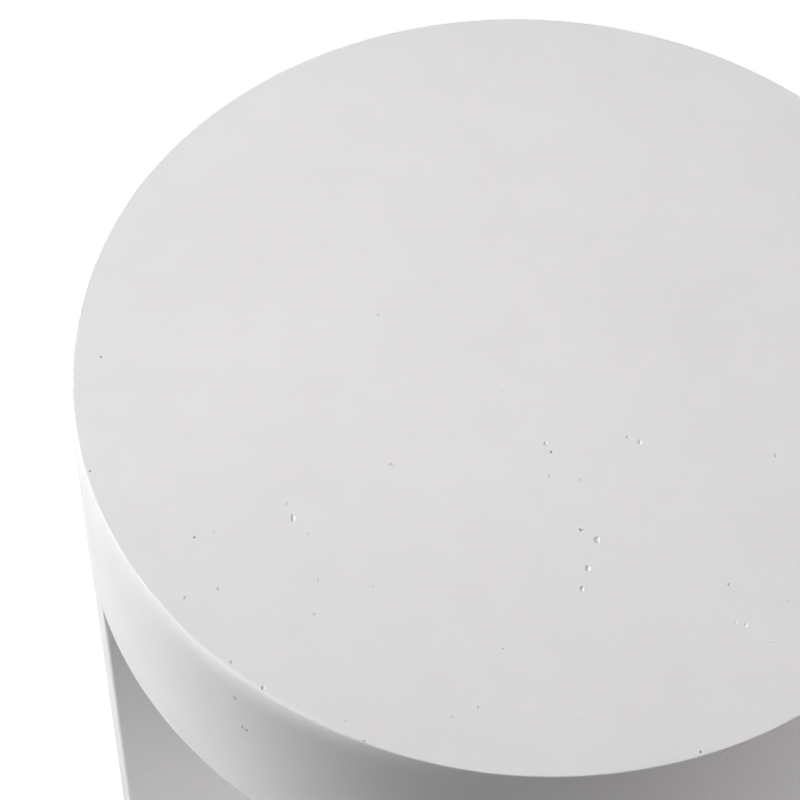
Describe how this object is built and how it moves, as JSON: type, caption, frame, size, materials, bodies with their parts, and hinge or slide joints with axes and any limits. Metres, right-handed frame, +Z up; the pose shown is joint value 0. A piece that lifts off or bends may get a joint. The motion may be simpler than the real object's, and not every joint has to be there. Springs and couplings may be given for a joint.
{
  "type": "side table",
  "caption": "Round cast-concrete side table: a drum top with a deep rim on a cross base of interlocked slabs flush with the rim, with screw-levelled feet under the arms.",
  "frame": {"origin": "on the floor, under the middle of the round top", "axes": "+Z up along the axis of the drum, +X along the main slab, +Y along the cross slab"},
  "size_m": [0.457, 0.457, 0.508],
  "materials": {
    "concrete": "matte",
    "foot_concrete": "matte",
    "steel": "satin",
    "nylon": "matte",
    "rubber": "matte",
    "sealant": "matte"
  },
  "bodies": {
    "table": {"top_shell": "concrete", "soffit_panel": "concrete", "main_slab": "concrete", "cross_slab": "concrete", "soffit_seal": "sealant", "soffit_screws": "steel", "soffit_screw_inserts": "steel", "lap_pad": "rubber", "alignment_dowels": "steel", "tie_rod_washers": "steel", "tie_rod_nuts": "steel", "tie_rod_sockets": "steel", "foot_inserts": "steel", "foot_block_right": "foot_concrete", "tie_rod_right": "steel", "foot_block_back": "foot_concrete", "tie_rod_back": "steel", "foot_block_left": "foot_concrete", "tie_rod_left": "steel", "foot_block_front": "foot_concrete", "tie_rod_front": "steel"},
    "foot_right": {"foot_pad_right": "nylon", "foot_sole_right": "rubber"},
    "screw_right": {"foot_stud_right": "steel"},
    "foot_back": {"foot_pad_back": "nylon", "foot_sole_back": "rubber"},
    "screw_back": {"foot_stud_back": "steel"},
    "foot_left": {"foot_pad_left": "nylon", "foot_sole_left": "rubber"},
    "screw_left": {"foot_stud_left": "steel"},
    "foot_front": {"foot_pad_front": "nylon", "foot_sole_front": "rubber"},
    "screw_front": {"foot_stud_front": "steel"}
  },
  "joints": [
    {"name": "foot_right_height", "type": "slide", "parent": "table", "child": "foot_right", "axis": [0, 0, -1], "range_m": [0, 0.012]},
    {"name": "screw_right_turn", "type": "hinge", "parent": "foot_right", "child": "screw_right", "pos_m": [0.178, 0, 0.0101], "axis": [0, 0, -1], "range_deg": [0, 2880]},
    {"name": "foot_back_height", "type": "slide", "parent": "table", "child": "foot_back", "axis": [0, 0, -1], "range_m": [0, 0.012]},
    {"name": "screw_back_turn", "type": "hinge", "parent": "foot_back", "child": "screw_back", "pos_m": [0, 0.178, 0.0101], "axis": [0, 0, -1], "range_deg": [0, 2880]},
    {"name": "foot_left_height", "type": "slide", "parent": "table", "child": "foot_left", "axis": [0, 0, -1], "range_m": [0, 0.012]},
    {"name": "screw_left_turn", "type": "hinge", "parent": "foot_left", "child": "screw_left", "pos_m": [-0.178, 0, 0.0101], "axis": [0, 0, -1], "range_deg": [0, 2880]},
    {"name": "foot_front_height", "type": "slide", "parent": "table", "child": "foot_front", "axis": [0, 0, -1], "range_m": [0, 0.012]},
    {"name": "screw_front_turn", "type": "hinge", "parent": "foot_front", "child": "screw_front", "pos_m": [0, -0.178, 0.0101], "axis": [0, 0, -1], "range_deg": [0, 2880]}
  ],
  "couplings": [
    {"joint": "foot_right_height", "follows": "screw_right_turn", "m_per_rad": 0.00023873},
    {"joint": "foot_back_height", "follows": "screw_back_turn", "m_per_rad": 0.00023873},
    {"joint": "foot_left_height", "follows": "screw_left_turn", "m_per_rad": 0.00023873},
    {"joint": "foot_front_height", "follows": "screw_front_turn", "m_per_rad": 0.00023873}
  ]
}
